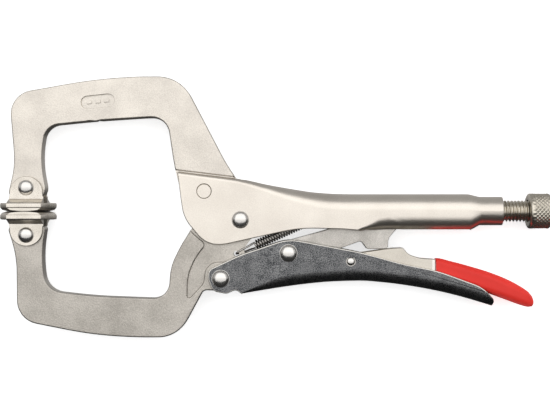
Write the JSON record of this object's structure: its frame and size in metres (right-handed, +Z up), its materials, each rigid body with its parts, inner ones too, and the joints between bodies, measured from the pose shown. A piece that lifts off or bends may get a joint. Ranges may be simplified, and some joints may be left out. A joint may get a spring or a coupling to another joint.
{
  "type": "locking pliers",
  "caption": "Locking C-clamp pliers with deep forged jaws, swivel pads, toggle linkage, release lever with a dipped grip, and a knurled adjusting screw.",
  "frame": {"origin": "centre of the bounding box's underside, with the tool lying flat on its side and the pads shut", "axes": "+X along the handles towards the adjusting knob, +Y across the tool towards the fixed jaw, +Z up out of the side the tool lies on"},
  "size_m": [0.28, 0.1324, 0.0234],
  "materials": {
    "forged_nickel": "matt nickel plate over a sandblasted forging",
    "satin_nickel": "satin nickel plate, fine grain",
    "pad_nickel": "satin nickel plate over pressed sheet",
    "dark_nickel": "dark nickel plate, speckled and semi-gloss",
    "polished_steel": "mirror polished",
    "spring_steel": "dark oiled spring wire",
    "link_steel": "satin nickel plate, slightly darker",
    "screw_steel": "nickel plate over turned steel",
    "red_vinyl": "glossy dipped vinyl"
  },
  "bodies": {
    "frame": {"fixed_handle": "satin_nickel", "fixed_jaw": "forged_nickel", "fixed_jaw_pin": "satin_nickel", "main_pivot_rivet": "polished_steel", "upper_pad_rivet": "polished_steel", "spring_anchor_pin": "satin_nickel", "return_spring": "spring_steel"},
    "upper_swivel": {"upper_pad": "pad_nickel"},
    "lower_jaw": {"moving_jaw": "forged_nickel", "lower_pad_rivet": "polished_steel"},
    "lower_swivel": {"lower_pad": "pad_nickel"},
    "lower_handle": {"moving_handle": "dark_nickel", "handle_pivot_rivet": "polished_steel", "link_pivot_rivet": "polished_steel", "lever_pivot_rivet": "polished_steel"},
    "toggle": {"toggle_link": "link_steel"},
    "lever": {"release_lever": "link_steel", "lever_grip": "red_vinyl"},
    "screw": {"adjusting_screw": "screw_steel"},
    "knob": {"adjusting_knob": "screw_steel"}
  },
  "joints": [
    {"name": "jaw_open", "type": "hinge", "parent": "frame", "child": "lower_jaw", "pos_m": [-0.0176, -0.0064, 0.0117], "axis": [0, 0, 1], "range_deg": [0, 24.6], "deforming": ["return_spring"]},
    {"name": "handle_swing", "type": "hinge", "parent": "lower_jaw", "child": "lower_handle", "pos_m": [-0.0275, -0.0362, 0.0117], "axis": [0, 0, 1], "range_deg": [-59.6, 0]},
    {"name": "link_swing", "type": "hinge", "parent": "lower_handle", "child": "toggle", "pos_m": [0.0067, -0.0233, 0.0117], "axis": [0, 0, 1], "range_deg": [0, 60.3]},
    {"name": "lever_release", "type": "hinge", "parent": "lower_handle", "child": "lever", "pos_m": [0.0381, -0.0275, 0.0117], "axis": [0, 0, 1], "range_deg": [0, 8]},
    {"name": "upper_pad_swivel", "type": "hinge", "parent": "frame", "child": "upper_swivel", "pos_m": [-0.1258, 0.00975, 0.0117], "axis": [0, 0, 1], "range_deg": [0, 12.3]},
    {"name": "lower_pad_swivel", "type": "hinge", "parent": "lower_jaw", "child": "lower_swivel", "pos_m": [-0.1258, -0.01415, 0.0117], "axis": [0, 0, 1], "range_deg": [-12.3, 0]},
    {"name": "screw_travel", "type": "slide", "parent": "frame", "child": "screw", "axis": [1, 0, 0], "range_m": [0, 0.024]},
    {"name": "knob_turn", "type": "hinge", "parent": "screw", "child": "knob", "pos_m": [0.134, -0.0021, 0.0117], "axis": [1, 0, 0], "range_deg": [0, 4937.2]}
  ],
  "couplings": [
    {"joint": "handle_swing", "follows": "jaw_open", "ratio": -2.4227},
    {"joint": "link_swing", "follows": "jaw_open", "ratio": 2.4512},
    {"joint": "upper_pad_swivel", "follows": "jaw_open", "ratio": 0.5},
    {"joint": "lower_pad_swivel", "follows": "jaw_open", "ratio": -0.5},
    {"joint": "knob_turn", "follows": "screw_travel", "rad_per_m": 3590.4}
  ]
}
